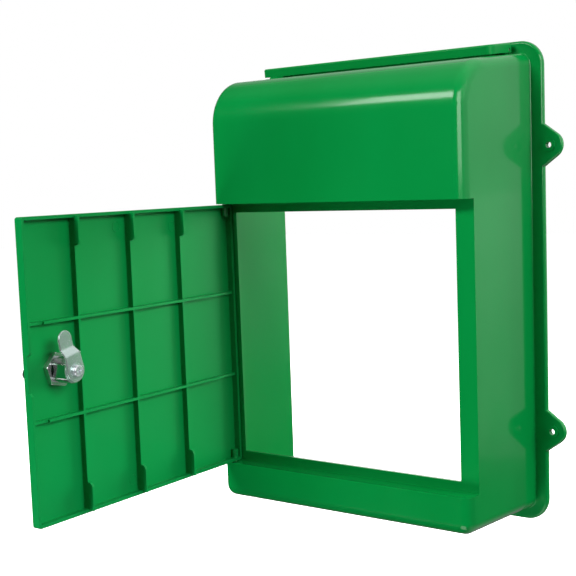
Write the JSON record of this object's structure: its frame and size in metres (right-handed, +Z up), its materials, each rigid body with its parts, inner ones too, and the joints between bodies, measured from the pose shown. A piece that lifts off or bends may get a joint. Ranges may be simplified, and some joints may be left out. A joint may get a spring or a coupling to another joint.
{
  "type": "book drop box",
  "caption": "Wall-mounted plastic drop box with an open back, a front hood and sill, a side-hinged ribbed door with a cam lock, and a hinged lid over a top slot.",
  "frame": {"origin": "centre of the four wall screw holes, on the wall plane at the back of the flange", "axes": "+Z up, +Y into the wall, +X to the right seen from the front"},
  "size_m": [0.3128, 0.3361, 0.39],
  "materials": {
    "green_shell": "glossy moulded bright green",
    "green_door": "satin moulded bright green",
    "green_lid": "satin moulded bright green",
    "pin_steel": "bright drawn steel",
    "lock_chrome": "polished chrome plate on die casting",
    "lock_nut_plate": "bright nickel plate",
    "zinc_plate": "clear zinc plated pressed steel",
    "screw_chrome": "bright plated",
    "wafer_brass": "stamped",
    "spring_steel": "plain wire",
    "key_steel": "nickel plated",
    "key_black": "moulded black, fine grain"
  },
  "bodies": {
    "box": {"body_shell": "green_shell", "lid_pin_left": "pin_steel", "lid_pin_right": "pin_steel"},
    "door": {"door_panel": "green_door", "door_pin_upper": "pin_steel", "door_pin_lower": "pin_steel", "lock_housing": "lock_chrome", "lock_nut": "lock_nut_plate"},
    "lock_core": {"lock_plug": "lock_chrome", "lock_wafers": "wafer_brass", "wafer_springs": "spring_steel", "stop_washer": "zinc_plate", "lock_cam": "zinc_plate", "cam_washer": "zinc_plate", "cam_screw": "screw_chrome"},
    "key": {"key_blade": "key_steel", "key_bow": "key_black"},
    "lid": {"top_lid": "green_lid"}
  },
  "joints": [
    {"name": "door_hinge", "type": "hinge", "parent": "box", "child": "door", "pos_m": [-0.1165, -0.097, 0], "axis": [0, 0, 1], "range_deg": [-14, 86]},
    {"name": "cam_turn", "type": "hinge", "parent": "door", "child": "lock_core", "pos_m": [-0.10698, -0.30484, -0.03725], "axis": [0.9976, 0.0698, 0], "range_deg": [-12, 78]},
    {"name": "key_slide", "type": "slide", "parent": "lock_core", "child": "key", "axis": [-0.9976, -0.0698, 0], "range_m": [0, 0.0165]},
    {"name": "lid_hinge", "type": "hinge", "parent": "box", "child": "lid", "pos_m": [0, -0.01101, 0.19159], "axis": [-1, 0, 0], "range_deg": [0, 80]}
  ]
}
